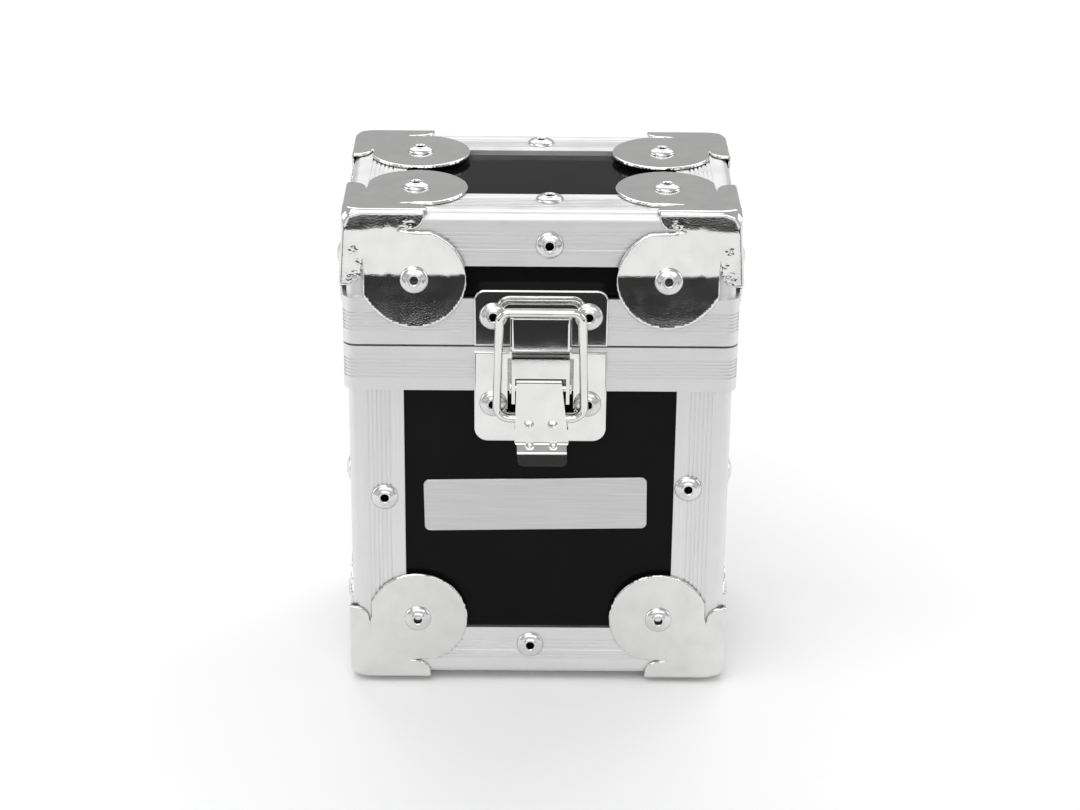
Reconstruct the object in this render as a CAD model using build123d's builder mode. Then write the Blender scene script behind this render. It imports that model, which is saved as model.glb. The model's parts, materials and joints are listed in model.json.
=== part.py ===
from build123d import *
import os
from math import cos, hypot, radians, sin

# Cigarette case in the style of a small flight case, in millimetres.
# The front faces -Y and the lid hinges about X at the back.
# X and Y are centred on the whole outline, and Z starts at the surface it stands on.

# Case, measured outside the aluminium angle profiles
case_width = 90.0
case_depth = 58.0
base_height = 87.4
lid_height = 32.1
closing_gap = 0.5

# Walls and lining
panel_thickness = 4.0
lining_thickness = 1.5

# Angle profiles along the edges
profile_flange = 13.0
profile_thickness = 1.2
profile_radius = 2.2
profile_groove_pitch = 1.0
profile_groove_centre = 7.2

# Fine grooves drawn along every aluminium profile
groove_count = 6
groove_width = 0.42
groove_depth = 0.25

# Rim bands where lid and base meet
band_thickness = 1.0
base_band_height = 11.0
lid_band_height = 11.5
band_groove_pitch = 0.84
rim_web = 1.2
rim_flange_thickness = 1.0
rim_flange_height = 7.0
tongue_inset = 1.9
tongue_width = 1.2
tongue_height = 1.2
tongue_clearance = 0.35
groove_floor = 0.8

# Stamped three-legged corners
corner_sheet = 0.8
corner_disc_radius = 12.0
corner_disc_inset = 15.8
corner_strip_width = 4.1
corner_strip_length = 18.8
corner_strip_end_radius = 3.4
corner_band_clearance = 0.15

# Blind rivets
rivet_head_radius = 3.25
rivet_head_height = 1.2
rivet_crown_radius = 1.55
rivet_shank_radius = 1.6
rivet_bore_radius = 0.95
rivet_bore_depth = 2.2
rivet_clearance = 0.05

# Where single rivets sit on the profiles
left_post_rivet_inset = 8.2
left_post_rivet_height = 48.2
right_post_rivet_inset = 9.6
right_post_rivet_height = 50.8
side_post_rivet_inset = 8.6
side_post_rivet_height = 52.0
bottom_rivet_inset = 8.4
bottom_rivet_offset = -1.9
lid_front_rivet_inset = 7.8
lid_front_rivet_offset = 1.8
top_front_rivet_inset = 9.5
top_back_rivet_inset = 7.0

# Nameplate
nameplate_width = 53.2
nameplate_height = 13.5
nameplate_thickness = 0.6
nameplate_corner_radius = 1.4
nameplate_offset = -0.9
nameplate_centre_height = 46.1
nameplate_tilt = 1.0

# Draw latch: both plates
latch_sheet = 0.8
latch_plate_width = 31.0
latch_edge_rounding = 0.45
latch_rivet_spacing = 22.0

# Catch plate and its hook, heights above the lid's lower edge
catch_plate_height = 13.9
catch_plate_corner_radius = 2.5
catch_rivet_height = 7.5
hook_width = 14.0
hook_reach = 2.6
hook_rise = 7.85
hook_drop = 0.6
hook_fold_radius = 1.5

# Lower plate and its lever bracket, depths below the base's upper edge
latch_plate_drop = 0.9
latch_plate_height = 22.8
latch_plate_corner_radius = 3.3
latch_rivet_drop = 13.9
bracket_width = 13.4
bracket_reach = 4.6
bracket_bridge_height = 4.8
bracket_ear_drop = 14.4
latch_window_half_width = 7.7
latch_window_drop = 16.2

# Lever, turning on a pin between the bracket's ears
lever_pivot_drop = 8.8
lever_pivot_reach = 2.6
lever_eye_radius = 1.7
lever_pin_radius = 0.9
lever_pin_head_radius = 1.5
lever_pin_head_length = 0.5
lever_top_width = 10.4
lever_foot_width = 12.7
lever_knee_drop = 22.2
lever_flare_drop = 24.2
lever_tab_drop = 27.4
lever_tab_reach = 6.0
lever_tab_width = 11.6
lever_tab_corner_radius = 1.3
lever_bend_radius = 0.9
lever_cheek_reach = 0.7
lever_dimple_spacing = 5.5
lever_dimple_drop = 17.2
lever_dimple_length = 2.3
lever_dimple_height = 1.5
lever_bead_radius = 0.9
lever_bead_proud = 0.3

# Wire bail that the lever pulls over the hook
bail_wire_radius = 1.0
bail_axle_drop = 16.8
bail_axle_reach = 2.1
bail_hook_clearance = 0.3
bail_top_rise = 9.95
bail_foot_half_width = 10.3
bail_top_half_width = 9.5
bail_foot_bend = 3.2
bail_top_bend = 2.4
pivot_clearance = 0.05

# Butt hinge on the back
hinge_width = 36.0
hinge_leaf_height = 10.0
hinge_leaf_thickness = 0.8
hinge_barrel_radius = 2.0
hinge_pin_radius = 1.0
hinge_knuckles = 5
hinge_knuckle_gap = 0.15
hinge_turn_clearance = 0.3
hinge_rivet_spacing = 24.0
hinge_rivet_distance = 6.2
hinge_pin_head_radius = 1.6
hinge_pin_head_length = 0.6

os.makedirs("parts", exist_ok=True)

# Faces of the closed case
foot_height = corner_sheet + rivet_head_height
base_bottom = foot_height
base_top = base_bottom + base_height
lid_bottom = base_top + closing_gap
lid_top = lid_bottom + lid_height
half_width = case_width / 2
half_depth = case_depth / 2
hinge_axis_reach = band_thickness + hinge_turn_clearance + hinge_barrel_radius
front_reach = band_thickness + latch_sheet + lever_tab_reach
back_reach = hinge_axis_reach + hinge_barrel_radius
centre_y = (front_reach - back_reach) / 2
front_y = centre_y - half_depth
back_y = centre_y + half_depth
wall_depth = profile_thickness + panel_thickness
lid_web = tongue_height - closing_gap + tongue_clearance + groove_floor
lid_corner_lean = (band_thickness + corner_band_clearance) / (lid_height - lid_band_height)

front_face = Plane((0, front_y, 0), x_dir=(1, 0, 0), z_dir=(0, -1, 0))
back_face = Plane((0, back_y, 0), x_dir=(-1, 0, 0), z_dir=(0, 1, 0))
left_face = Plane((-half_width, centre_y, 0), x_dir=(0, -1, 0), z_dir=(-1, 0, 0))
right_face = Plane((half_width, centre_y, 0), x_dir=(0, 1, 0), z_dir=(1, 0, 0))
top_face = Plane((0, centre_y, lid_top), x_dir=(1, 0, 0), z_dir=(0, 0, 1))
bottom_face = Plane((0, centre_y, base_bottom), x_dir=(1, 0, 0), z_dir=(0, 0, -1))

# Latch and hinge places
latch_face_y = front_y - band_thickness - latch_sheet
latch_side = Plane((0, latch_face_y, 0), x_dir=(0, -1, 0), z_dir=(-1, 0, 0))
lever_pivot_z = base_top - lever_pivot_drop
bail_axle_z = base_top - bail_axle_drop
bail_top_z = lid_bottom + bail_top_rise
bail_top_reach = hook_reach + bail_hook_clearance + bail_wire_radius
hinge_axis_y = back_y + hinge_axis_reach
hinge_axis_z = base_top + closing_gap / 2

side_names = {-1: "left", 1: "right"}
depth_names = {-1: "front", 1: "back"}


def save(piece, name):
    """Labels a finished piece and writes it as its own file."""
    piece.part.label = name
    export_step(piece.part, f"parts/{name}.step")


def face_site(face, across, up, lift):
    """The plane on which a rivet head sits, at a place on one of the case's faces."""
    return Plane(face.from_local_coords((across, up, lift)), x_dir=face.x_dir, z_dir=face.z_dir)


def drill(sites, depth):
    """Cuts rivet holes into the piece being made, as deep as the stack that they pass."""
    for site in sites:
        with BuildSketch(site) as hole:
            Circle(rivet_shank_radius + rivet_clearance)
        extrude(hole.sketch, amount=-depth, mode=Mode.SUBTRACT)


def blind_rivet(grip):
    """A domed blind rivet with its mandrel hole, its head seated on Z = 0."""
    with BuildPart() as rivet:
        with BuildSketch(Plane.XZ):
            with BuildLine():
                Polyline((rivet_bore_radius, rivet_head_height), (rivet_crown_radius, rivet_head_height))
                ThreePointArc(
                    (rivet_crown_radius, rivet_head_height),
                    (rivet_head_radius * 0.83, rivet_head_height * 0.62),
                    (rivet_head_radius, 0),
                )
                Polyline(
                    (rivet_head_radius, 0),
                    (rivet_shank_radius, 0),
                    (rivet_shank_radius, -grip),
                    (0, -grip),
                    (0, rivet_head_height - rivet_bore_depth),
                    (rivet_bore_radius, rivet_head_height - rivet_bore_depth),
                    (rivet_bore_radius, rivet_head_height),
                )
            make_face()
        revolve(axis=Axis.Z)
    return rivet.part


def rivet_group(groups):
    """Loose rivets in one node, from pairs of a list of sites and the grip of each."""
    with BuildPart() as rivets:
        for sites, grip in groups:
            rivet = blind_rivet(grip)
            for site in sites:
                add(rivet.moved(site.location))
    return rivets


def wall_panel(width, depth, height, centre, bottom, holes, hole_depth):
    """A flat panel standing on Z = bottom, with holes for the rivets through it."""
    with BuildPart() as panel:
        with BuildSketch(Plane.XY.offset(bottom)):
            with Locations(centre):
                Rectangle(width, depth)
        extrude(amount=height)
        drill(holes, hole_depth)
    return panel


def groove_cuts(centre, pitch):
    """Distances of the fine grooves, spread evenly about a centre."""
    first = centre - pitch * (groove_count - 1) / 2
    return [first + pitch * index for index in range(groove_count)]


def angle_profile(corner, first, second, start, end, mitres, holes, hole_depth):
    """An aluminium angle along one edge of the case, mitred where three edges meet."""
    along = first.cross(second)
    section_plane = Plane(corner, x_dir=first, z_dir=along)
    low, high = sorted((start * along.dot(Vector(1, 1, 1)), end * along.dot(Vector(1, 1, 1))))
    cuts = groove_cuts(profile_groove_centre, profile_groove_pitch)
    with BuildPart() as profile:
        with BuildSketch(section_plane.offset(low)) as section:
            Rectangle(profile_flange, profile_flange, align=(Align.MIN, Align.MIN))
            outer = section.vertices().sort_by_distance((0, 0, 0))[0]
            fillet(outer, profile_radius)
            with Locations((profile_thickness, profile_thickness)):
                Rectangle(
                    profile_flange, profile_flange, align=(Align.MIN, Align.MIN), mode=Mode.SUBTRACT
                )
            with Locations(*[(cut, 0) for cut in cuts]):
                Rectangle(groove_width, 2 * groove_depth, mode=Mode.SUBTRACT)
            with Locations(*[(0, cut) for cut in cuts]):
                Rectangle(2 * groove_depth, groove_width, mode=Mode.SUBTRACT)
        extrude(amount=high - low)
        for vertex, inward, across in mitres:
            split(bisect_by=Plane(vertex, z_dir=inward - across), keep=Keep.TOP)
        drill(holes, hole_depth)
    return profile


def rounded_ring(level, height, outer_inset, inner_inset, mode=Mode.ADD):
    """One course of a rim band, between two distances in from the case's faces."""
    with BuildSketch(Plane.XY.offset(level)) as course:
        with Locations((0, centre_y)):
            RectangleRounded(
                case_width - 2 * outer_inset,
                case_depth - 2 * outer_inset,
                max(profile_radius - outer_inset, 0.2),
            )
            RectangleRounded(
                case_width - 2 * inner_inset,
                case_depth - 2 * inner_inset,
                max(profile_radius - inner_inset, 0.2),
                mode=Mode.SUBTRACT,
            )
    extrude(course.sketch, amount=height, mode=mode)


def rim_band(edge, away, band_height, web, holes, tongue):
    """A closing band: outer flange, web over the wall edges, inner flange, tongue or groove.

    The edge is the face that meets the other band, and away is +1 or -1, from it into the band.
    """
    inner_edge = wall_depth + rim_flange_thickness
    with BuildPart() as band:
        rounded_ring(min(edge, edge + away * band_height), band_height, -band_thickness, 0)
        rounded_ring(min(edge, edge + away * web), web, -band_thickness, inner_edge)
        flange = web + rim_flange_height
        rounded_ring(min(edge, edge + away * flange), flange, wall_depth, inner_edge)
        if tongue:
            rounded_ring(edge, tongue_height, tongue_inset, tongue_inset + tongue_width)
        else:
            groove = tongue_height - closing_gap + tongue_clearance
            rounded_ring(
                edge,
                groove,
                tongue_inset - tongue_clearance,
                tongue_inset + tongue_width + tongue_clearance,
                mode=Mode.SUBTRACT,
            )
        for cut in groove_cuts(band_height / 2, band_groove_pitch):
            rounded_ring(
                edge + away * cut - groove_width / 2,
                groove_width,
                -band_thickness - 1,
                groove_depth - band_thickness,
                mode=Mode.SUBTRACT,
            )
        drill(holes, latch_sheet + band_thickness + wall_depth)
    return band


def leg_plane(vertex, normal, level, down, tilt):
    """The plane of one leg, through the case's corner, leaning outwards as it goes down."""
    length = hypot(1, tilt)
    outward = normal * (1 / length) - down * (tilt / length)
    lowered = down * (1 / length) + normal * (tilt / length)
    first = level if outward.cross(level).dot(lowered) > 0 else lowered
    return Plane(vertex, x_dir=first, z_dir=outward)


def corner_legs(side, depth, level_z, inward_z, tilt):
    """The three leg planes of one corner: front or back, side, then top or bottom."""
    vertex = Vector(side * half_width, centre_y + depth * half_depth, level_z)
    inward_x = Vector(-side, 0, 0)
    inward_y = Vector(0, -depth, 0)
    inward_end = Vector(0, 0, inward_z)
    return [
        leg_plane(vertex, -inward_y, inward_x, inward_end, tilt),
        leg_plane(vertex, -inward_x, inward_y, inward_end, tilt),
        leg_plane(vertex, -inward_end, inward_x, inward_y, 0),
    ]


def leg_site(leg):
    """Where the rivet of a corner's leg sits, on the middle of its disc."""
    return face_site(leg, corner_disc_inset, corner_disc_inset, corner_sheet)


def edge_strip(tip, along, across, other):
    """A block round one edge of a corner, its two far edges well rounded."""
    length = corner_strip_length + corner_sheet
    width = corner_strip_width + corner_sheet
    size = along * length + across * width + other * width
    with BuildPart() as strip:
        with Locations(tip + size * 0.5):
            Box(abs(size.X), abs(size.Y), abs(size.Z))
        far_edges = strip.edges().sort_by_distance(tip + size)[0:3]
        fillet([edge for edge in far_edges if abs((edge % 0.5).dot(along)) < 0.5], corner_strip_end_radius)
    return strip.part


def edge_prism(vertex, along, first, second, reach):
    """A square bar along one edge of the case, with that edge rounded as the profile's is."""
    normal = first.cross(second)
    with BuildPart() as prism:
        with BuildSketch(Plane(vertex, x_dir=first, z_dir=normal)):
            RectangleRounded(3 * reach, 3 * reach, profile_radius, align=(Align.MIN, Align.MIN))
        extrude(amount=2 * reach * normal.dot(along))
    return prism.part


def corner_bracket(side, depth, level_z, inward_z, tilt):
    """A stamped corner: sheet folded round three edges, with a riveted disc on each face."""
    vertex = Vector(side * half_width, centre_y + depth * half_depth, level_z)
    x, y, z = Vector(-side, 0, 0), Vector(0, -depth, 0), Vector(0, 0, inward_z)
    diagonal = x + y + z
    tip = vertex - diagonal * corner_sheet
    reach = corner_strip_length + corner_sheet
    fold = profile_radius + corner_sheet
    span = corner_disc_inset - fold
    strips = edge_strip(tip, x, y, z) + edge_strip(tip, y, z, x) + edge_strip(tip, z, x, y)
    cavity = (
        edge_prism(vertex, x, y, z, reach)
        & edge_prism(vertex, y, z, x, reach)
        & edge_prism(vertex, z, x, y, reach)
    )
    with BuildPart() as bracket:
        with Locations(tip + diagonal * (reach / 2)):
            Box(reach, reach, reach)
        fillet(bracket.edges().sort_by_distance(tip)[0:3], fold)
        add(cavity, mode=Mode.SUBTRACT)
        add(strips, mode=Mode.INTERSECT)
        for leg in corner_legs(side, depth, level_z, inward_z, tilt):
            with BuildSketch(leg):
                with Locations((corner_disc_inset, corner_disc_inset)):
                    Circle(corner_disc_radius)
                with Locations((fold, fold)):
                    Rectangle(span, span, align=(Align.MIN, Align.MIN))
            extrude(amount=corner_sheet)
            drill([leg_site(leg)], corner_sheet + rivet_clearance)
    return bracket


def lining_box(bottom, height, floor_level):
    """A thin foam lining with its floor, or its ceiling, at one end."""
    outer_x = case_width - 2 * wall_depth
    outer_y = case_depth - 2 * wall_depth
    with BuildPart() as lining:
        with BuildSketch(Plane.XY.offset(bottom)):
            with Locations((0, centre_y)):
                Rectangle(outer_x, outer_y)
        extrude(amount=height)
        with BuildSketch(Plane.XY.offset(floor_level)):
            with Locations((0, centre_y)):
                Rectangle(outer_x - 2 * lining_thickness, outer_y - 2 * lining_thickness)
        extrude(amount=height, mode=Mode.SUBTRACT)
    return lining


def latch_plate(bottom, height, radius, round_top, band_edge, holes):
    """A pressed latch plate over the rim band, its turned edge reaching back to the panel."""
    plate_back = Plane((0, latch_face_y + latch_sheet, 0), x_dir=(1, 0, 0), z_dir=(0, -1, 0))
    rim_depth = band_thickness + profile_thickness
    rim_low = band_edge if round_top else bottom - 1
    rim_high = bottom + height + 1 if round_top else band_edge
    with BuildPart() as plate:
        with BuildSketch(plate_back) as outline:
            with Locations((0, bottom + height / 2)):
                Rectangle(latch_plate_width, height)
            ends = outline.vertices().group_by(Axis.Y)
            fillet(ends[-1] if round_top else ends[0], radius)
        extrude(amount=latch_sheet)
        fillet(plate.faces().sort_by(Axis.Y)[0].edges(), latch_edge_rounding)
        with BuildSketch(plate_back):
            with Locations((0, bottom + height / 2)):
                RectangleRounded(latch_plate_width, height, radius)
                RectangleRounded(
                    latch_plate_width - 2 * latch_sheet,
                    height - 2 * latch_sheet,
                    radius - latch_sheet,
                    mode=Mode.SUBTRACT,
                )
            with Locations((0, (rim_low + rim_high) / 2)):
                Rectangle(latch_plate_width + 2, rim_high - rim_low, mode=Mode.INTERSECT)
        extrude(amount=-rim_depth)
        drill(holes, latch_sheet + rim_depth)
    return plate


def side_block(points, half_span, rounding=0, mode=Mode.ADD):
    """A block with a side view given as reach in front of the latch plates and height.

    The rounding, if any, goes on the lower of its two foremost corners.
    """
    with BuildSketch(latch_side) as view:
        with BuildLine():
            Polyline(*points, close=True)
        make_face()
        if rounding:
            fillet(view.vertices().group_by(Axis.X)[-1].sort_by(Axis.Y)[0], rounding)
    extrude(view.sketch, amount=half_span, both=True, mode=mode)


def side_bar(reach, height, radius, half_span, mode=Mode.ADD):
    """A round bar along X, centred on the latch."""
    with BuildSketch(latch_side) as view:
        with Locations((reach, height)):
            Circle(radius)
    extrude(view.sketch, amount=half_span, both=True, mode=mode)


def post_sites(side, depth):
    """The two rivets of one upright: on its front or back flange, and on its side flange."""
    height = left_post_rivet_height if side < 0 else right_post_rivet_height
    inset = left_post_rivet_inset if side < 0 else right_post_rivet_inset
    face = front_face if depth < 0 else back_face
    across = -depth * side * (half_width - inset)
    flank = left_face if side < 0 else right_face
    flank_across = side * depth * (half_depth - side_post_rivet_inset)
    return [
        face_site(face, across, base_bottom + height, 0),
        face_site(flank, flank_across, base_bottom + side_post_rivet_height, 0),
    ]


def corner_sites(level_z, inward_z, tilt, leg_index, kept):
    """Rivet places of one leg of several corners, for the corners that pass a test."""
    return [
        leg_site(corner_legs(side, depth, level_z, inward_z, tilt)[leg_index])
        for side in side_names
        for depth in depth_names
        if kept(side, depth)
    ]


def case_walls(prefix, low, high, cap_low, corner_args):
    """The four upright panels and the closing panel of the base or of the lid."""
    inner_width = case_width - 2 * profile_thickness
    inner_depth = case_depth - 2 * wall_depth
    for depth, name in depth_names.items():
        holes = corner_sites(*corner_args, 0, lambda _, at: at == depth) + extra_sites[prefix + name]
        y = centre_y + depth * (half_depth - profile_thickness - panel_thickness / 2)
        panel = wall_panel(inner_width, panel_thickness, high - low, (0, y), low, holes, drill_depth)
        save(panel, f"{prefix}{name}_panel")
    for side, name in side_names.items():
        holes = corner_sites(*corner_args, 1, lambda at, _: at == side) + extra_sites[prefix + name]
        x = side * (half_width - profile_thickness - panel_thickness / 2)
        panel = wall_panel(
            panel_thickness, inner_depth, high - low, (x, centre_y), low, holes, drill_depth
        )
        save(panel, f"{prefix}{name}_panel")
    holes = corner_sites(*corner_args, 2, lambda *_: True) + extra_sites[prefix + "end"]
    cap = wall_panel(
        case_width - 2 * wall_depth,
        inner_depth,
        panel_thickness,
        (0, centre_y),
        cap_low,
        holes,
        drill_depth,
    )
    save(cap, f"{prefix}{end_names[prefix]}_panel")


def case_profiles(prefix, level_z, inward_z, post_low, post_high):
    """The four uprights and the four edge profiles round the end of the base or of the lid."""
    z = Vector(0, 0, inward_z)
    for side, side_name in side_names.items():
        x = Vector(-side, 0, 0)
        for depth, depth_name in depth_names.items():
            y = Vector(0, -depth, 0)
            vertex = Vector(side * half_width, centre_y + depth * half_depth, level_z)
            foot = Vector(vertex.X, vertex.Y, 0)
            mitres = [(vertex, z, x), (vertex, z, y)]
            holes = post_sites(side, depth) if inward_z > 0 else []
            post = angle_profile(foot, x, y, post_low, post_high, mitres, holes, drill_depth)
            save(post, f"{prefix}upright_{depth_name}_{side_name}")
    for depth, name in depth_names.items():
        y = Vector(0, -depth, 0)
        face_y = centre_y + depth * half_depth
        mitres = []
        for side in side_names:
            vertex, x = Vector(side * half_width, face_y, level_z), Vector(-side, 0, 0)
            mitres += [(vertex, x, y), (vertex, x, z)]
        holes = extra_sites[prefix + name] + extra_sites[prefix + "end"]
        start = Vector(0, face_y, level_z)
        rail = angle_profile(start, y, z, -half_width, half_width, mitres, holes, drill_depth)
        save(rail, f"{prefix}edge_profile_{name}")
    for side, name in side_names.items():
        x = Vector(-side, 0, 0)
        mitres = []
        for depth in depth_names:
            y = Vector(0, -depth, 0)
            vertex = Vector(side * half_width, centre_y + depth * half_depth, level_z)
            mitres += [(vertex, y, x), (vertex, y, z)]
        start = Vector(side * half_width, 0, level_z)
        rail = angle_profile(start, x, z, front_y, back_y, mitres, [], drill_depth)
        save(rail, f"{prefix}edge_profile_{name}")


def hinge_leaf(away, own_knuckles, other_knuckles, holes):
    """One leaf of the hinge on the band's back, with its knuckles round the hinge axis.

    Away is +1 for the lid's leaf, which goes up from the axis, and -1 for the base's.
    """
    edge = hinge_axis_z + away * closing_gap / 2
    axis_side = Plane((0, hinge_axis_y, hinge_axis_z), x_dir=(0, 1, 0), z_dir=(1, 0, 0))
    pitch = hinge_width / hinge_knuckles
    with BuildPart() as leaf:
        with BuildSketch(back_face.offset(band_thickness)):
            with Locations((0, edge + away * hinge_leaf_height / 2)):
                Rectangle(hinge_width, hinge_leaf_height)
        extrude(amount=hinge_leaf_thickness)
        for index in other_knuckles:
            start = index * pitch - hinge_width / 2 - hinge_knuckle_gap / 2
            with BuildSketch(axis_side.offset(start)):
                Circle(hinge_barrel_radius + hinge_turn_clearance)
            extrude(amount=pitch + hinge_knuckle_gap, mode=Mode.SUBTRACT)
        for index in own_knuckles:
            start = index * pitch - hinge_width / 2 + hinge_knuckle_gap / 2
            with BuildSketch(axis_side.offset(start)):
                Circle(hinge_barrel_radius)
            extrude(amount=pitch - hinge_knuckle_gap)
        with BuildSketch(axis_side):
            Circle(hinge_pin_radius + pivot_clearance)
        extrude(amount=hinge_width, both=True, mode=Mode.SUBTRACT)
        drill(holes, hinge_leaf_thickness + band_thickness)
    return leaf


def lever_outline(inset, bottom):
    """Front view of the lever's tapered plate, from its eye down, drawn in by an inset."""
    top = lever_top_width / 2 - inset
    foot = lever_foot_width / 2 - inset
    return [
        (-top, lever_pivot_z + lever_eye_radius),
        (top, lever_pivot_z + lever_eye_radius),
        (foot, bottom),
        (-foot, bottom),
    ]


# Rivets that are not on a corner
front_lift = band_thickness + latch_sheet
back_lift = band_thickness + hinge_leaf_thickness
latch_reach = latch_rivet_spacing / 2
hinge_reach = hinge_rivet_spacing / 2
catch_sites = [
    face_site(front_face, across, lid_bottom + catch_rivet_height, front_lift)
    for across in (-latch_reach, latch_reach)
]
latch_sites = [
    face_site(front_face, across, base_top - latch_rivet_drop, front_lift)
    for across in (-latch_reach, latch_reach)
]
hinge_base_sites = [
    face_site(back_face, across, hinge_axis_z - hinge_rivet_distance, back_lift)
    for across in (-hinge_reach, hinge_reach)
]
hinge_lid_sites = [
    face_site(back_face, across, hinge_axis_z + hinge_rivet_distance, back_lift)
    for across in (-hinge_reach, hinge_reach)
]
bottom_front_site = face_site(front_face, bottom_rivet_offset, base_bottom + bottom_rivet_inset, 0)
bottom_back_site = face_site(back_face, 0, base_bottom + bottom_rivet_inset, 0)
lid_front_site = face_site(front_face, lid_front_rivet_offset, lid_top - lid_front_rivet_inset, 0)
lid_back_site = face_site(back_face, 0, lid_top - lid_front_rivet_inset, 0)
underside_sites = [
    face_site(bottom_face, 0, across, 0)
    for across in (half_depth - bottom_rivet_inset, bottom_rivet_inset - half_depth)
]
top_sites = [
    face_site(top_face, lid_front_rivet_offset, top_front_rivet_inset - half_depth, 0),
    face_site(top_face, 0, half_depth - top_back_rivet_inset, 0),
]
uprights = {(side, depth): post_sites(side, depth) for side in side_names for depth in depth_names}
extra_sites = {
    "base_front": [bottom_front_site, uprights[-1, -1][0], uprights[1, -1][0]] + latch_sites,
    "base_back": [bottom_back_site, uprights[-1, 1][0], uprights[1, 1][0]] + hinge_base_sites,
    "base_left": [uprights[-1, -1][1], uprights[-1, 1][1]],
    "base_right": [uprights[1, -1][1], uprights[1, 1][1]],
    "base_end": underside_sites,
    "lid_front": [lid_front_site] + catch_sites,
    "lid_back": [lid_back_site] + hinge_lid_sites,
    "lid_left": [],
    "lid_right": [],
    "lid_end": top_sites,
}
end_names = {"base_": "bottom", "lid_": "top"}

# Stacks that the rivets pass
drill_depth = front_lift + wall_depth
corner_grip = corner_sheet + wall_depth
lid_leg_grip = corner_grip + lid_corner_lean * (corner_disc_inset - rivet_shank_radius)
base_corner_args = (base_bottom, 1, 0)
lid_corner_args = (lid_top, -1, lid_corner_lean)

# Walls, uprights and edge profiles
base_wall_top = base_top - rim_web
lid_wall_bottom = lid_bottom + lid_web
case_walls(
    "base_", base_bottom + profile_thickness, base_wall_top, base_bottom + profile_thickness, base_corner_args
)
case_walls("lid_", lid_wall_bottom, lid_top - profile_thickness, lid_top - wall_depth, lid_corner_args)
case_profiles("base_", base_bottom, 1, base_bottom, base_wall_top)
case_profiles("lid_", lid_top, -1, lid_wall_bottom, lid_top)

# Rim bands
base_band_holes = latch_sites + hinge_base_sites
lid_band_holes = catch_sites + hinge_lid_sites
save(rim_band(base_top, -1, base_band_height, rim_web, base_band_holes, True), "base_rim_band")
save(rim_band(lid_bottom, 1, lid_band_height, lid_web, lid_band_holes, False), "lid_rim_band")

# Linings
base_lining_bottom = base_bottom + wall_depth
base_lining_height = base_wall_top - rim_flange_height - base_lining_bottom
lid_lining_bottom = lid_wall_bottom + rim_flange_height
lid_lining_height = lid_top - wall_depth - lid_lining_bottom
save(
    lining_box(base_lining_bottom, base_lining_height, base_lining_bottom + lining_thickness),
    "base_lining",
)
save(
    lining_box(lid_lining_bottom, lid_lining_height, lid_lining_bottom - lining_thickness),
    "lid_lining",
)

# Stamped corners
for side, side_name in side_names.items():
    for depth, depth_name in depth_names.items():
        save(corner_bracket(side, depth, *base_corner_args), f"base_corner_{depth_name}_{side_name}")
        save(corner_bracket(side, depth, *lid_corner_args), f"lid_corner_{depth_name}_{side_name}")

# Rivets
base_leg_sites = [
    site for leg in (0, 1) for site in corner_sites(*base_corner_args, leg, lambda *_: True)
]
lid_leg_sites = [
    site for leg in (0, 1) for site in corner_sites(*lid_corner_args, leg, lambda *_: True)
]
upright_sites = [site for pair in uprights.values() for site in pair]
foot_sites = corner_sites(*base_corner_args, 2, lambda *_: True)
lid_cap_sites = corner_sites(*lid_corner_args, 2, lambda *_: True)
save(rivet_group([(foot_sites, corner_grip)]), "base_foot_rivets")
save(rivet_group([(base_leg_sites, corner_grip)]), "base_corner_rivets")
save(
    rivet_group([(upright_sites + [bottom_front_site, bottom_back_site] + underside_sites, wall_depth)]),
    "base_profile_rivets",
)
save(
    rivet_group([(lid_leg_sites, lid_leg_grip), (lid_cap_sites, corner_grip)]), "lid_corner_rivets"
)
save(rivet_group([([lid_front_site, lid_back_site] + top_sites, wall_depth)]), "lid_profile_rivets")
save(rivet_group([(latch_sites, drill_depth)]), "latch_plate_rivets")
save(rivet_group([(catch_sites, drill_depth)]), "catch_plate_rivets")
save(rivet_group([(hinge_base_sites, back_lift + wall_depth)]), "hinge_base_rivets")
save(rivet_group([(hinge_lid_sites, back_lift + wall_depth)]), "hinge_lid_rivets")

# Nameplate, stuck to the front panel and left bare
tilt = radians(nameplate_tilt)
nameplate_plane = Plane(
    (nameplate_offset, front_y + profile_thickness, base_bottom + nameplate_centre_height),
    x_dir=(cos(tilt), 0, sin(tilt)),
    z_dir=(0, -1, 0),
)
with BuildPart() as nameplate:
    with BuildSketch(nameplate_plane):
        RectangleRounded(nameplate_width, nameplate_height, nameplate_corner_radius)
    extrude(amount=nameplate_thickness)
save(nameplate, "nameplate")

# Catch plate with its hook
hook_low = lid_bottom - hook_drop
hook_top = lid_bottom + hook_rise
catch_blank = latch_plate(
    lid_bottom,
    catch_plate_height,
    catch_plate_corner_radius,
    True,
    lid_bottom + lid_band_height,
    catch_sites,
)
with BuildPart() as latch_catch_plate:
    add(catch_blank.part)
    side_block(
        [
            (-latch_sheet / 2, hook_top),
            (hook_reach, hook_top),
            (hook_reach, hook_low),
            (latch_sheet, hook_low),
            (0, lid_bottom),
            (-latch_sheet / 2, lid_bottom),
        ],
        hook_width / 2,
        rounding=hook_fold_radius,
    )
    side_block(
        [
            (0, hook_top + 1),
            (hook_reach - latch_sheet, hook_top + 1),
            (hook_reach - latch_sheet, lid_bottom + latch_sheet),
            (0, lid_bottom + latch_sheet),
        ],
        hook_width / 2 - latch_sheet,
        mode=Mode.SUBTRACT,
    )
save(latch_catch_plate, "latch_catch_plate")

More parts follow.
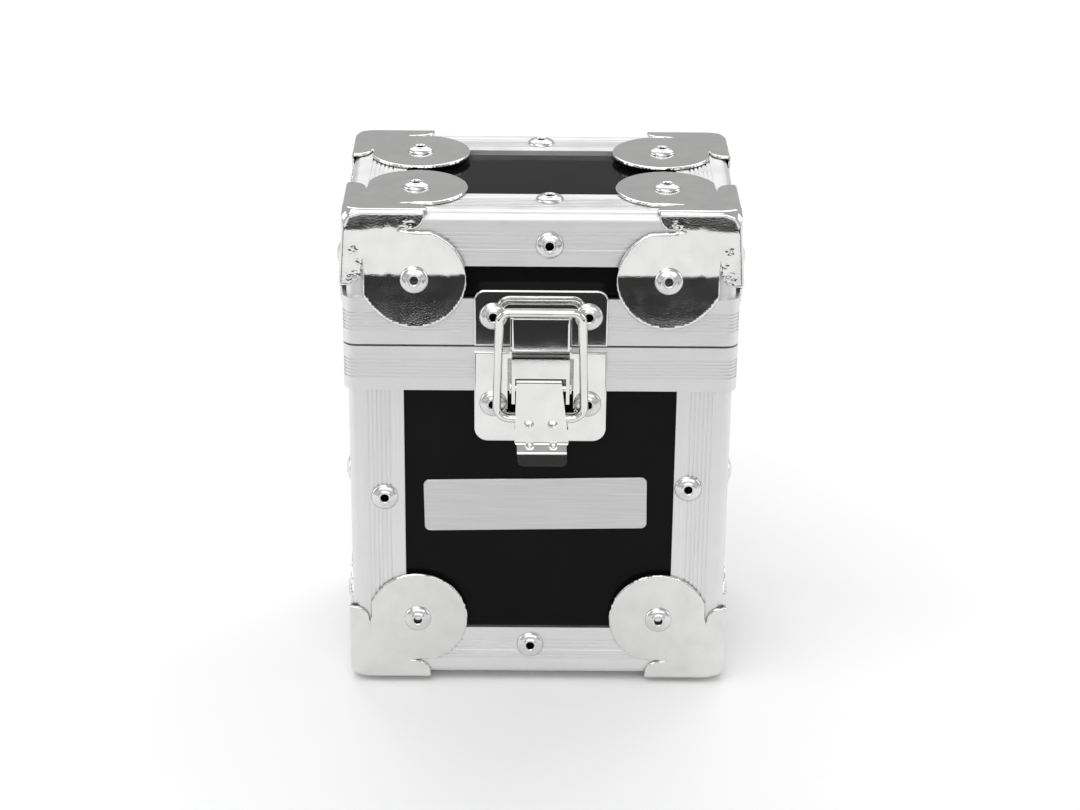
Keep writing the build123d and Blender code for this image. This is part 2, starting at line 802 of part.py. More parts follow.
# Lower latch plate with the bracket that carries the lever
plate_top = base_top - latch_plate_drop
bridge_low = plate_top - bracket_bridge_height
ear_low = base_top - bracket_ear_drop
window_low = base_top - latch_window_drop
lower_blank = latch_plate(
    plate_top - latch_plate_height,
    latch_plate_height,
    latch_plate_corner_radius,
    False,
    base_top - base_band_height,
    latch_sites,
)
with BuildPart() as latch_base_plate:
    add(lower_blank.part)
    side_block(
        [
            (-latch_sheet - 1, plate_top - 2 * latch_sheet),
            (1, plate_top - 2 * latch_sheet),
            (1, window_low),
            (-latch_sheet - 1, window_low),
        ],
        latch_window_half_width,
        mode=Mode.SUBTRACT,
    )
    side_block(
        [
            (-latch_sheet, plate_top),
            (bracket_reach, plate_top),
            (bracket_reach, ear_low + bracket_reach / 2),
            (0, ear_low),
            (-latch_sheet, ear_low),
        ],
        bracket_width / 2,
    )
    side_block(
        [
            (-latch_sheet - 1, plate_top - latch_sheet),
            (bracket_reach - latch_sheet, plate_top - latch_sheet),
            (bracket_reach - latch_sheet, bridge_low),
            (bracket_reach + 1, bridge_low),
            (bracket_reach + 1, ear_low - 1),
            (-latch_sheet - 1, ear_low - 1),
        ],
        bracket_width / 2 - latch_sheet,
        mode=Mode.SUBTRACT,
    )
    side_bar(
        lever_pivot_reach,
        lever_pivot_z,
        lever_pin_radius + pivot_clearance,
        latch_plate_width,
        mode=Mode.SUBTRACT,
    )
save(latch_base_plate, "latch_base_plate")

# Pin of the lever, headed outside both ears
with BuildPart() as latch_lever_pin:
    side_bar(lever_pivot_reach, lever_pivot_z, lever_pin_radius, bracket_width / 2)
    for end in (-1, 1):
        with BuildSketch(Plane.YZ.offset(end * bracket_width / 2)):
            with Locations((latch_face_y - lever_pivot_reach, lever_pivot_z)):
                Circle(lever_pin_head_radius)
        extrude(amount=end * lever_pin_head_length)
save(latch_lever_pin, "latch_lever_pin")

# Lever
lever_face = lever_pivot_reach + lever_eye_radius
knee_z = base_top - lever_knee_drop
tab_z = base_top - lever_tab_drop
cheek_half = bail_wire_radius + latch_sheet
dimple_z = base_top - lever_dimple_drop
lever_front = Plane((0, latch_face_y - lever_face, 0), x_dir=(1, 0, 0), z_dir=(0, -1, 0))
with BuildPart() as latch_lever:
    with BuildSketch(latch_side):
        with BuildLine():
            FilletPolyline(
                (lever_face, lever_pivot_z),
                (lever_face, knee_z),
                (lever_tab_reach, base_top - lever_flare_drop),
                (lever_tab_reach, tab_z),
                radius=lever_bend_radius,
            )
            offset(amount=latch_sheet, side=Side.RIGHT)
        make_face()
    extrude(amount=lever_foot_width / 2, both=True)
    side_block(
        [
            (lever_cheek_reach, bail_axle_z - cheek_half),
            (lever_face - latch_sheet / 2, bail_axle_z - cheek_half),
            (lever_face - latch_sheet / 2, lever_pivot_z),
            (lever_pivot_reach - lever_pin_radius, lever_pivot_z),
            (lever_cheek_reach, bail_axle_z + cheek_half),
        ],
        lever_foot_width / 2,
    )
    with BuildSketch(lever_front) as front_view:
        with BuildLine():
            Polyline(*lever_outline(0, knee_z), close=True)
        make_face()
        with Locations((0, knee_z)):
            Rectangle(lever_tab_width, knee_z - tab_z, align=(Align.CENTER, Align.MAX))
        fillet(front_view.vertices().group_by(Axis.Y)[0], lever_tab_corner_radius)
    extrude(amount=2 * lever_face, both=True, mode=Mode.INTERSECT)
    with BuildSketch(lever_front.offset(-latch_sheet)):
        with BuildLine():
            Polyline(*lever_outline(latch_sheet, knee_z), close=True)
        make_face()
    extrude(amount=-2 * lever_face, mode=Mode.SUBTRACT)
    side_bar(lever_pivot_reach, lever_pivot_z, lever_eye_radius, lever_top_width / 2)
    bore = lever_pin_radius + pivot_clearance
    side_bar(lever_pivot_reach, lever_pivot_z, bore, lever_foot_width, mode=Mode.SUBTRACT)
    socket = bail_wire_radius + pivot_clearance
    side_bar(bail_axle_reach, bail_axle_z, socket, lever_foot_width, mode=Mode.SUBTRACT)
    dimples = [(end * lever_dimple_spacing / 2, dimple_z) for end in (-1, 1)]
    with BuildSketch(Plane.XY.offset(knee_z + lever_bend_radius)):
        for x, _ in dimples:
            with Locations((x, latch_face_y - lever_face)):
                Ellipse(lever_bead_radius, lever_bead_proud)
    extrude(amount=dimple_z - knee_z - lever_bend_radius)
    with BuildSketch(lever_front):
        with Locations(*dimples):
            Ellipse(lever_dimple_length / 2, lever_dimple_height / 2)
    extrude(amount=latch_sheet + pivot_clearance, both=True, mode=Mode.SUBTRACT)
save(latch_lever, "latch_lever")

# Wire bail: half of its loop, then the other half mirrored
bail_rise = Vector(0, bail_axle_reach - bail_top_reach, bail_top_z - bail_axle_z)
bail_plane = Plane(
    (0, latch_face_y - bail_axle_reach, bail_axle_z),
    x_dir=(1, 0, 0),
    z_dir=Vector(1, 0, 0).cross(bail_rise.normalized()),
)
with BuildPart() as latch_bail:
    with BuildLine(bail_plane) as loop:
        FilletPolyline(
            (0, 0),
            (bail_foot_half_width, 0),
            (bail_top_half_width, bail_rise.length),
            (0, bail_rise.length),
            radius=[bail_foot_bend, bail_top_bend],
        )
    with BuildSketch(loop.line ^ 0):
        Circle(bail_wire_radius)
    sweep(transition=Transition.TRANSFORMED)
    mirror(about=Plane.YZ)
save(latch_bail, "latch_bail")

# Hinge
base_knuckles = range(0, hinge_knuckles, 2)
lid_knuckles = range(1, hinge_knuckles, 2)
save(hinge_leaf(-1, base_knuckles, lid_knuckles, hinge_base_sites), "hinge_base_leaf")
save(hinge_leaf(1, lid_knuckles, base_knuckles, hinge_lid_sites), "hinge_lid_leaf")
with BuildPart() as hinge_pin:
    axis_side = Plane((0, hinge_axis_y, hinge_axis_z), x_dir=(0, 1, 0), z_dir=(1, 0, 0))
    with BuildSketch(axis_side):
        Circle(hinge_pin_radius)
    extrude(amount=hinge_width / 2, both=True)
    for end in (-1, 1):
        with BuildSketch(axis_side.offset(end * hinge_width / 2)):
            Circle(hinge_pin_head_radius)
        extrude(amount=end * hinge_pin_head_length)
save(hinge_pin, "hinge_pin")
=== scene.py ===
"""Looks of a cigarette case in the style of a small flight case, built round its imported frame."""

import json
from itertools import product
from math import cos, pi, radians, sin, tan

import bmesh
import bpy
from bpy.props import FloatProperty, FloatVectorProperty, PointerProperty
from bpy.types import Operator, Panel, PropertyGroup
from mathutils import Matrix, Vector, noise

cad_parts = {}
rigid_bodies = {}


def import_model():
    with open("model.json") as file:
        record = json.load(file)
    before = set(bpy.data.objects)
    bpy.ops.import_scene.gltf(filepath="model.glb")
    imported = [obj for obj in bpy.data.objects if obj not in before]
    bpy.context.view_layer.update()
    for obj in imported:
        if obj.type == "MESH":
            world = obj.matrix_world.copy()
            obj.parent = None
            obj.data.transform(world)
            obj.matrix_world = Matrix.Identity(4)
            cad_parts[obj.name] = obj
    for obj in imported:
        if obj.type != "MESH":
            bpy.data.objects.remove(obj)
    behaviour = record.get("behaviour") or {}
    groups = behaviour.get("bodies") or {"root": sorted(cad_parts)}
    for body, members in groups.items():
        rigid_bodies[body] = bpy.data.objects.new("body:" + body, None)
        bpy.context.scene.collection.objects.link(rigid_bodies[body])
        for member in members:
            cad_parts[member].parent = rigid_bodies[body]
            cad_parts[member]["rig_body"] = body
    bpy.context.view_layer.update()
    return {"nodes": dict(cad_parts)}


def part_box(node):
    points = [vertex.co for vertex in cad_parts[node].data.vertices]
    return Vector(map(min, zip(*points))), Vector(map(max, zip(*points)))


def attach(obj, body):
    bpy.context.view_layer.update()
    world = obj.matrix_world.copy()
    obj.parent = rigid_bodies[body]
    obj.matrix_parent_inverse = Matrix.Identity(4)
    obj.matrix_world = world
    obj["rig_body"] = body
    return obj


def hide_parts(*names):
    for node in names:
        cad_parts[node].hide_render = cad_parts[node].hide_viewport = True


bl_info = {
    "name": "Riveted Cigarette Case",
    "version": (1, 0, 0),
    "blender": (4, 5, 0),
    "location": "3D View > Sidebar > Case",
    "description": "Dresses the packed frame of a small riveted case with a draw latch",
    "category": "Object",
}

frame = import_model()

MM = 0.001

# Pressed corners, in millimetres: how far their outer faces stand out from the case, and how
# thick their sheet is, which leaves a little air over the profiles
SHEET = 0.8
THICKNESS = 0.62
# Radius of a fold along the case's edges, and in the ball at its vertex
FOLD = 1.1
BALL = 2.4
# Discs: their radius, and how far their middles lie in from the case's faces
DISC_RADIUS = 12.0
DISC_INSET = 15.8
# Strips: their width from the fold, and the radius of their round ends
STRIP_WIDTH = 4.9
STRIP_END = 3.4
# A lid's leg leans out by this slope, from this far below its fold
LEAN = 0.066
LEAN_START = 5.0
# Where a lid's leg is crinkled, with each place's radius: at both strips' ends and in two dents
PUCKERS = (((15.1, 3.9), 2.1), ((3.2, 16.0), 1.8), ((4.2, 12.7), 1.0), ((3.0, 9.6), 1.3))

# How far the lever's pin stands out from the lower plate
PIN_REACH = 2.6

low_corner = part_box("base_upright_front_left")[0] / MM
high_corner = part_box("base_upright_back_right")[1] / MM
base_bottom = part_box("base_edge_profile_front")[0].z / MM
lid_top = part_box("lid_edge_profile_front")[1].z / MM
half_width = high_corner.x
front_y, back_y = low_corner.y, high_corner.y
pin_low, pin_high = (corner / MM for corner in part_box("latch_lever_pin"))
pin_y, pin_z = (pin_low.y + pin_high.y) / 2, (pin_low.z + pin_high.z) / 2
lid_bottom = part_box("lid_rim_band")[0].z / MM


def linear(hex_colour):
    """Turns an sRGB hex value into the linear colour that a shader socket takes."""
    shades = [int(hex_colour[i : i + 2], 16) / 255 for i in (1, 3, 5)]
    return [s / 12.92 if s <= 0.04045 else ((s + 0.055) / 1.055) ** 2.4 for s in shades]


def colour(name, description, hex_colour):
    """A colour setting with its default given as sRGB hex."""
    return FloatVectorProperty(
        name=name,
        description=description,
        subtype="COLOR",
        size=3,
        min=0,
        max=1,
        default=linear(hex_colour),
    )


def length(name, description, millimetres, low, high):
    """A length setting with its default and limits given in millimetres."""
    return FloatProperty(
        name=name,
        description=description,
        unit="LENGTH",
        precision=5,
        default=millimetres * MM,
        min=low * MM,
        max=high * MM,
    )


class CaseSizes(PropertyGroup):
    """Small sizes that the frame leaves to the looks."""

    rim: length("Corner rim", "Rounding of the pressed corners' cut edges", 0.45, 0.05, 0.6)
    leg_rise: length("Leg rise", "How far the lid's discs stand out over the band", 0.95, 0.85, 1.2)
    ripple: length("Ripple", "Height of the shallow dents left by pressing", 0.012, 0, 0.1)
    ring: length("Rivet ring", "Radius of the raised ring round a rivet's hole", 1.5, 1.2, 2.0)
    edge: length("Broken edge", "Width of the rounding along cut edges of sheet", 0.14, 0.02, 0.3)
    press: length("Pressed edge", "Rounding of the pressed bends of the latch", 0.95, 0.3, 1.2)
    bead: length("Lever bead", "Height of the lever's two stiffening beads", 0.38, 0.1, 0.45)
    dimple: length("Lever dimple", "Depth of the dents above the beads", 1.15, 0.1, 1.2)


class CaseColours(PropertyGroup):
    """Base colours of the finishes."""

    laminate: colour("Laminate", "Black laminate of the panels", "#0A0A0B")
    aluminium: colour("Aluminium", "Satin aluminium of the profiles", "#E2E2E2")
    nickel: colour("Nickel", "Bright nickel plate of latch and corners", "#E3E3E2")
    rivet: colour("Rivet", "Bright rolled aluminium of the rivets", "#DEDEDE")
    nameplate: colour("Nameplate", "Brushed aluminium of the bare nameplate", "#CDCDCE")
    zinc: colour("Zinc", "Zinc plate of the hinge", "#BFC1C4")
    lining: colour("Lining", "Black foam of the lining", "#161617")


def add_node(tree, kind, sockets=(), links=(), **settings):
    """Adds a shader node with its settings, its socket values and the links into it."""
    made = tree.nodes.new(kind)
    for name, value in settings.items():
        setattr(made, name, value)
    for name, value in sockets:
        made.inputs[name].default_value = value
    for name, source in links:
        tree.links.new(source, made.inputs[name])
    return made


def noise_node(tree, scale, detail, place):
    """Adds a noise texture whose scale is in cycles per metre where the place is in metres."""
    return add_node(
        tree, "ShaderNodeTexNoise", [("Scale", scale), ("Detail", detail)], [("Vector", place)]
    )


def new_material(name, sockets):
    """An empty material with its Principled shader, whose plain values are given."""
    material = bpy.data.materials.new(name)
    material.use_nodes = True
    tree = material.node_tree
    shader = tree.nodes["Principled BSDF"]
    for socket, value in sockets:
        shader.inputs[socket].default_value = value
    place = add_node(tree, "ShaderNodeTexCoord")
    return material, tree, shader, place.outputs["Object"]


def laminate_finish():
    """High-pressure laminate: almost black, glossy, with a faint pebble from its press."""
    tint = bpy.context.scene.case_colours.laminate
    material, tree, shader, place = new_material(
        "black_laminate", [("IOR", 1.5), ("Specular IOR Level", 0.06)]
    )
    # The pebble of the press plate is about 0.7 mm across.
    pebble = noise_node(tree, 1400, 3, place)
    smear = noise_node(tree, 55, 5, place)
    ramp = add_node(tree, "ShaderNodeValToRGB", links=[("Fac", smear.outputs["Fac"])])
    # Finger marks and dust lift the black a little in places.
    ramp.color_ramp.elements[0].color = (*tint, 1)
    ramp.color_ramp.elements[1].color = (*[min(1, c * 1.9 + 0.001) for c in tint], 1)
    gloss = add_node(
        tree,
        "ShaderNodeMapRange",
        [("From Min", 0.3), ("From Max", 0.7), ("To Min", 0.10), ("To Max", 0.19)],
        [("Value", smear.outputs["Fac"])],
    )
    bump = add_node(
        tree,
        "ShaderNodeBump",
        [("Strength", 0.06), ("Distance", 0.00005)],
        [("Height", pebble.outputs["Fac"])],
    )
    tree.links.new(ramp.outputs["Color"], shader.inputs["Base Color"])
    tree.links.new(gloss.outputs["Result"], shader.inputs["Roughness"])
    tree.links.new(bump.outputs["Normal"], shader.inputs["Normal"])
    return material


def drawn_metal(name, tint, axis, rough, line_mm, streak, scratch):
    """Metal with fine lines along one axis, as an extrusion die or a brush leaves them.

    The lines draw highlights out across them and give the satin its grain.
    """
    material, tree, shader, place = new_material(name, [("Metallic", 1.0)])
    # Lines are much longer than wide, so the pattern is squeezed along their direction.
    stretch = [1 / (line_mm * MM)] * 3
    stretch["XYZ".index(axis)] *= 0.012
    lines = add_node(tree, "ShaderNodeMapping", [("Scale", stretch)], [("Vector", place)])
    fine = noise_node(tree, 1.0, 4, lines.outputs["Vector"])
    cloud = noise_node(tree, 130, 4, place)
    shade = add_node(tree, "ShaderNodeValToRGB", links=[("Fac", fine.outputs["Fac"])])
    shade.color_ramp.elements[0].position = 0.3
    shade.color_ramp.elements[1].position = 0.7
    shade.color_ramp.elements[0].color = (*[c * (1 - streak) for c in tint], 1)
    shade.color_ramp.elements[1].color = (*[min(1, c * (1 + streak / 2)) for c in tint], 1)
    gloss = add_node(
        tree,
        "ShaderNodeMapRange",
        [("From Min", 0.3), ("From Max", 0.7), ("To Min", rough * 0.85), ("To Max", rough * 1.15)],
        [("Value", cloud.outputs["Fac"])],
    )
    bump = add_node(
        tree,
        "ShaderNodeBump",
        [("Strength", scratch), ("Distance", 0.00003)],
        [("Height", fine.outputs["Fac"])],
    )
    tree.links.new(shade.outputs["Color"], shader.inputs["Base Color"])
    tree.links.new(gloss.outputs["Result"], shader.inputs["Roughness"])
    tree.links.new(bump.outputs["Normal"], shader.inputs["Normal"])
    return material


def plated_metal(name, tint, grain_mm, rough, peel, haze):
    """Bright plate over pressed sheet: an orange-peel skin with cloudy, slightly duller places."""
    material, tree, shader, place = new_material(name, [("Metallic", 1.0)])
    grain = noise_node(tree, 1 / (grain_mm * MM), 3, place)
    wave = noise_node(tree, 260, 2, place)
    cloud = noise_node(tree, 210, 6, place)
    gloss = add_node(
        tree,
        "ShaderNodeMapRange",
        [("From Min", 0.42), ("From Max", 0.72), ("To Min", rough), ("To Max", rough + haze)],
        [("Value", cloud.outputs["Fac"])],
    )
    shade = add_node(tree, "ShaderNodeValToRGB", links=[("Fac", cloud.outputs["Fac"])])
    shade.color_ramp.elements[0].position = 0.35
    shade.color_ramp.elements[1].position = 0.75
    shade.color_ramp.elements[0].color = (*tint, 1)
    shade.color_ramp.elements[1].color = (*[c * 0.9 for c in tint], 1)
    # The swell under the skin grows with it, but stays faint on the coarsest sheet.
    most_peel, swell_share = 0.32, 0.15
    swell = add_node(
        tree,
        "ShaderNodeBump",
        [("Strength", min(peel, most_peel) * swell_share), ("Distance", 0.0001)],
        [("Height", wave.outputs["Fac"])],
    )
    skin = add_node(
        tree,
        "ShaderNodeBump",
        [("Strength", 1.0), ("Distance", peel * 0.00003)],
        [("Height", grain.outputs["Fac"]), ("Normal", swell.outputs["Normal"])],
    )
    tree.links.new(shade.outputs["Color"], shader.inputs["Base Color"])
    tree.links.new(gloss.outputs["Result"], shader.inputs["Roughness"])
    tree.links.new(skin.outputs["Normal"], shader.inputs["Normal"])
    return material


def foam_finish():
    """Flocked foam: dull black, with a soft nap that catches light at a glancing angle."""
    tint = bpy.context.scene.case_colours.lining
    material, tree, shader, place = new_material(
        "flocked_foam", [("Roughness", 0.95), ("Sheen Weight", 0.4), ("Sheen Roughness", 0.5)]
    )
    # Fibres are far finer than this 0.25 mm nap, which is drawn coarse enough to show.
    nap = noise_node(tree, 4000, 4, place)
    ramp = add_node(tree, "ShaderNodeValToRGB", links=[("Fac", nap.outputs["Fac"])])
    ramp.color_ramp.elements[0].color = (*[c * 0.6 for c in tint], 1)
    ramp.color_ramp.elements[1].color = (*[c * 1.6 for c in tint], 1)
    bump = add_node(
        tree,
        "ShaderNodeBump",
        [("Strength", 0.5), ("Distance", 0.0002)],
        [("Height", nap.outputs["Fac"])],
    )
    tree.links.new(ramp.outputs["Color"], shader.inputs["Base Color"])
    tree.links.new(bump.outputs["Normal"], shader.inputs["Normal"])
    return material


def finishes():
    """Every material of the case, made once and kept by name."""
    tints = bpy.context.scene.case_colours
    if "black_laminate" not in bpy.data.materials:
        laminate_finish()
        foam_finish()
        # A profile's lines run along it, so each direction has its own material.
        for axis in "XYZ":
            name = f"extruded_aluminium_{axis.lower()}"
            drawn_metal(name, tints.aluminium, axis, 0.46, 0.3, 0.035, 0.08)
        drawn_metal("brushed_nameplate", tints.nameplate, "X", 0.36, 0.16, 0.10, 0.25)
        drawn_metal("rolled_zinc_plate", tints.zinc, "X", 0.28, 0.4, 0.08, 0.15)
        # Pressed steel keeps its grain under the nickel. The latch's was polished before plating.
        plated_metal("nickelled_pressed_steel", tints.nickel, 0.35, 0.06, 0.42, 0.05)
        plated_metal("bright_nickel_plate", tints.nickel, 0.4, 0.04, 0.04, 0.02)
        # Rivets are tumbled aluminium, softer in shine, and their bores are painted near black as
        # painted shade deep in the hole.
        plated_metal("bright_rivet_aluminium", tints.rivet, 0.5, 0.20, 0.12, 0.08)
        plated_metal("painted_shade_rivet_bore", [0.01, 0.01, 0.01], 0.5, 0.5, 0.2, 0.2)
    return bpy.data.materials


def cut_grid(mesh, step, high):
    """Cuts a flat mesh along evenly spaced lines both ways, so that it can be shaped."""
    for axis in (Vector((1, 0, 0)), Vector((0, 1, 0))):
        for index in range(1, int(high / step) + 1):
            whole = mesh.verts[:] + mesh.edges[:] + mesh.faces[:]
            place = axis * index * step
            bmesh.ops.bisect_plane(mesh, geom=whole, dist=1e-4, plane_co=place, plane_no=axis)


def arc(centre, radius, start, end, count):
    """Points along an arc, from one angle to another in degrees."""
    angles = [radians(start + (end - start) * i / count) for i in range(count + 1)]
    return [(centre[0] + radius * cos(a), centre[1] + radius * sin(a)) for a in angles]


def face_of(mesh, points):
    """One flat face through a ring of points."""
    ring = [mesh.verts.new((x, y, 0)) for x, y in points]
    return mesh.faces.new(ring)


def rounded_rims(mesh, face, drop, widths_and_drops):
    """Insets a face once for each width, and notes on each ring how far its points lie back."""
    layer = mesh.verts.layers.float.new("drop")
    for vertex in mesh.verts:
        vertex[layer] = drop
    for width, next_drop in widths_and_drops:
        bmesh.ops.inset_region(
            mesh, faces=[face], thickness=width, use_boundary=True, use_even_offset=True
        )
        for vertex in face.verts:
            vertex[layer] = next_drop
    return layer


def eased(value, low, high):
    """A smooth step from 0 at the low end to 1 at the high end."""
    t = max(0.0, min(1.0, (value - low) / (high - low)))
    return t * t * (3 - 2 * t)


def bent(value, low, high, bend):
    """A straight slope from 0 at the low end to 1 at the high end, with a short bend at each."""

    def knee(x):
        return max(0.0, x) if abs(x) > bend else (x + bend) ** 2 / (4 * bend)

    return (knee(value - low) - knee(value - high)) / (high - low)


def make_piece(mesh, name, body, materials, replaced, sharp=35, flat=False):
    """Turns a finished bmesh into a piece that rides on its body and stands for its nodes.

    Flat is for sheet metal: its wide faces then shade flat, and only its rounded edges turn.
    """
    bmesh.ops.scale(mesh, vec=(MM,) * 3, verts=mesh.verts)
    data = bpy.data.meshes.new(name)
    mesh.to_mesh(data)
    mesh.free()
    data.polygons.foreach_set("use_smooth", [True] * len(data.polygons))
    data.set_sharp_from_angle(angle=radians(sharp))
    for material in materials:
        data.materials.append(finishes()[material])
    piece = bpy.data.objects.new(name, data)
    bpy.context.scene.collection.objects.link(piece)
    if flat:
        weighted = piece.modifiers.new("flat_faces", "WEIGHTED_NORMAL")
        weighted.keep_sharp = True
    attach(piece, body)
    if replaced:
        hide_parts(*replaced)
    return piece


def leg_outline(strip_across, strip_down):
    """The ring of points round a leg laid flat: a strip each way with a round end, and the disc.

    It runs past both folds by some spare sheet, which is cut off there after the rims are made.
    """
    spare = 1.5
    end_steps, disc_steps = 10, 72
    # The disc breaks out of the leg this many degrees past the way to each strip.
    break_out = 19.7
    centre = DISC_INSET + SHEET
    across, down = strip_across - STRIP_END, strip_down - STRIP_END
    low = STRIP_WIDTH - STRIP_END
    ring = [(-spare, -spare), (strip_across, -spare)]
    ring += arc((across, low), STRIP_END, 0, 90, end_steps)
    # A narrow slit parts each strip's end from the disc.
    ring += [(across - 0.6, STRIP_WIDTH + 0.1), (across + 0.7, STRIP_WIDTH + 0.28)]
    ring += arc((centre, centre), DISC_RADIUS, break_out - 90, 180 - break_out, disc_steps)
    ring += [(STRIP_WIDTH + 0.28, down + 0.7), (STRIP_WIDTH + 0.1, down - 0.6)]
    ring += arc((low, down), STRIP_END, 0, 90, end_steps)
    ring += [(-spare, strip_down)]
    return ring


def leg_grid(outline, rim):
    """A leg's flat mesh with its rim rings, cut at both folds and into a fine grid."""
    grid, fold_grid, fold_zone = 0.5, 0.25, 2.0
    mesh = bmesh.new()
    face = face_of(mesh, outline)
    # Three rings follow a quarter circle from the cut edge to the sheet's face.
    rings = [(rim * 0.15, rim * 0.55), (rim * 0.4, rim * 0.17), (rim * 0.45, 0.0)]
    drop = rounded_rims(mesh, face, rim, rings)
    for normal in ((1, 0, 0), (0, 1, 0)):
        whole = mesh.verts[:] + mesh.edges[:] + mesh.faces[:]
        bmesh.ops.bisect_plane(
            mesh, geom=whole, dist=1e-4, plane_co=(0, 0, 0), plane_no=normal, clear_inner=True
        )
    cut_grid(mesh, grid, DISC_INSET + SHEET + DISC_RADIUS)
    cut_grid(mesh, fold_grid, fold_zone)
    bmesh.ops.remove_doubles(mesh, verts=mesh.verts, dist=0.02)
    return mesh, drop


def leg_sheet(rise, seed):
    """One leg of a pressed corner, with half of each fold beside it, as seen from outside.

    It is shaped flat first, on distances from the two outer planes beside it, then folded. A
    lid's leg leans outwards all the way down, and its disc rises over the rim band.
    """
    sizes = bpy.context.scene.case_sizes
    rim = sizes.rim / MM
    ripple = sizes.ripple / MM
    # A lid's strips are shorter, so that they end above its rim band.
    strip_across, strip_down = (19.0, 18.2) if rise else (19.6, 19.6)
    mesh, drop = leg_grid(leg_outline(strip_across, strip_down), rim)
    if rise:
        for spot, size in PUCKERS:
            inside = [v for v in mesh.verts if (v.co.xy - Vector(spot)).length < size]
            near = {e for v in inside for e in v.link_edges}
            bmesh.ops.subdivide_edges(mesh, edges=list(near), cuts=1, use_grid_fill=True)
    inwards = mesh.verts.layers.float_vector.new("inwards")
    for vertex in mesh.verts:
        flat = vertex.co.xy
        u, v = flat
        # Folds are sharp along the case's edges and grow into a ball at its vertex.
        fold = FOLD + (BALL - FOLD) * (1 - eased(flat.length, 1.2, 4.6))
        turn_u = pi / 4 * (1 - min(u, fold) / fold)
        turn_v = pi / 4 * (1 - min(v, fold) / fold)
        normal = Vector((-tan(turn_u), -tan(turn_v), 1)).normalized()
        place = Vector((max(u, fold), max(v, fold), -fold)) + normal * (fold - vertex[drop])
        # Dents from pressing, of two sizes, stay clear of the strips and the rims.
        inward = eased(min(u, v), STRIP_WIDTH - 0.6, STRIP_WIDTH + 3)
        dent = noise.noise(Vector((u * 0.16, v * 0.16, seed))) + 0.4 * noise.noise(
            Vector((u * 0.5, v * 0.5, seed + 9))
        )
        lift = ripple * dent * inward * (1 - eased(vertex[drop], 0, rim))
        if rise:
            lift += lid_rise(u, v, rise, seed)
            place.x -= LEAN * max(0.0, v - LEAN_START) * (1 - eased(u, fold, 9))
        vertex.co = place + Vector((0, 0, lift))
        vertex[inwards] = normal * (vertex[drop] - THICKNESS)
    return mesh


def lid_rise(u, v, rise, seed):
    """How far a lid's leg stands out at a point: its lean, its disc's slope and its crinkles."""
    across, down = u - SHEET, v - SHEET
    lean = LEAN * max(0.0, v - LEAN_START)
    wave = 0.5 * noise.noise(Vector((u * 0.6, seed, 0)))
    # The disc climbs from the end of the bend at the fold to the band's upper edge.
    disc = rise * (0.95 * bent(down + wave, 3.7, 14.6, 0.6) + 0.05 * eased(down, 15, 21))
    # The step from strip to disc is wide at the top and narrow beside the strip's end.
    step = 6.2 - 5.0 * eased(down, 7.5, 16.5)
    lift = lean + (disc - lean) * eased(across, 3.0, 3.0 + step)
    for spot, size in PUCKERS:
        near = 1 - eased((Vector((u, v)) - Vector(spot)).length, 0.3 * size, size)
        lift += 0.16 * near * noise.noise(Vector((u * 1.1, v * 1.8, seed + 4)))
    return lift


def corner_mesh(rises, seed):
    """A whole pressed corner about its outer tip, in inward X, Y and Z, from its three legs."""
    whole = bmesh.new()
    # Each leg's plane directions, given in the corner's inward X, Y and Z, and its outward one.
    legs = [
        ((1, 0, 0), (0, 0, 1), (0, -1, 0)),
        ((0, 1, 0), (0, 0, 1), (-1, 0, 0)),
        ((1, 0, 0), (0, 1, 0), (0, 0, -1)),
    ]
    for index, (first, second, outward) in enumerate(legs):
        leg = leg_sheet(rises[index], seed + 3 * index)
        turn = Matrix((first, second, outward)).transposed().to_4x4()
        bmesh.ops.transform(leg, matrix=turn, verts=leg.verts)
        inwards = leg.verts.layers.float_vector["inwards"]
        for vertex in leg.verts:
            vertex[inwards] = turn.to_3x3() @ vertex[inwards]
        if turn.determinant() < 0:
            bmesh.ops.reverse_faces(leg, faces=leg.faces)
        data = bpy.data.meshes.new("leg")
        leg.to_mesh(data)
        leg.free()
        whole.from_mesh(data)
        bpy.data.meshes.remove(data)
    bmesh.ops.remove_doubles(whole, verts=whole.verts, dist=0.03)
    bmesh.ops.recalc_face_normals(whole, faces=whole.faces)
    # The tip is at the origin, so a normal there has to point away from the inside.
    tip = min(whole.faces, key=lambda f: f.calc_center_median().length)
    if tip.normal.dot(Vector((1, 1, 1))) > 0:
        bmesh.ops.reverse_faces(whole, faces=whole.faces)
    # Each leg has noted where the back of its sheet lies.
    inwards = whole.verts.layers.float_vector["inwards"]
    for item in bmesh.ops.extrude_face_region(whole, geom=whole.faces[:])["geom"]:
        if isinstance(item, bmesh.types.BMVert):
            item.co += item[inwards]
    bmesh.ops.recalc_face_normals(whole, faces=whole.faces)
    return whole


